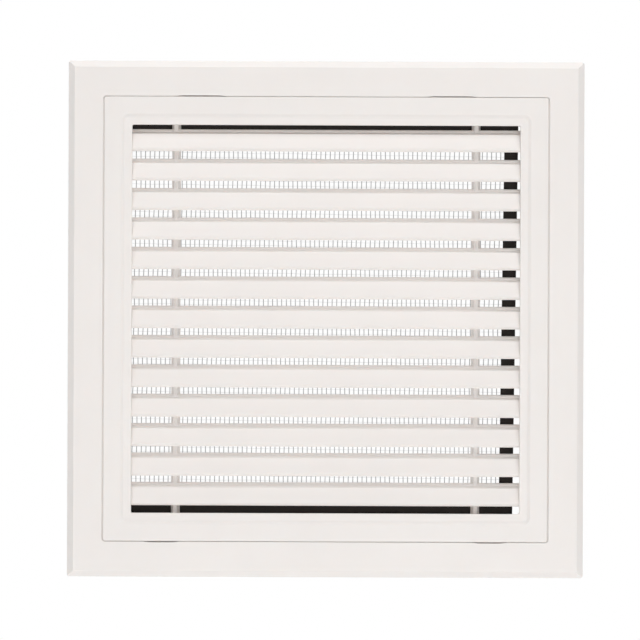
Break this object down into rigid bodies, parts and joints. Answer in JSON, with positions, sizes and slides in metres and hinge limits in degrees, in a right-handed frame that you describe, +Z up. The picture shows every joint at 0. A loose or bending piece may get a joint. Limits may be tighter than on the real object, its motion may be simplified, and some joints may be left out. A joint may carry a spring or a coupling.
{
  "type": "ventilation grille",
  "caption": "Square wall ventilation grille: a mounting frame with duct collar, a clip-in panel with fixed sloping slats, and an insect screen taped behind it.",
  "frame": {"origin": "centre of the screw pattern, on the plane of the wall behind the flange", "axes": "+Z up, -Y out of the wall towards the room, +Y into the duct, +X to the right seen from the room"},
  "size_m": [0.249, 0.0194, 0.249],
  "materials": {
    "frame_plastic": "satin warm white moulded plastic",
    "panel_plastic": "satin warm white moulded plastic",
    "screen_thread": "milky plastic thread",
    "foam_tape": "matt black closed-cell foam"
  },
  "bodies": {
    "root": {"mounting_frame": "frame_plastic", "louvre_panel": "panel_plastic", "insect_screen": "screen_thread", "top_tape": "foam_tape", "bottom_tape": "foam_tape", "left_tape": "foam_tape", "right_tape": "foam_tape"}
  },
  "joints": []
}
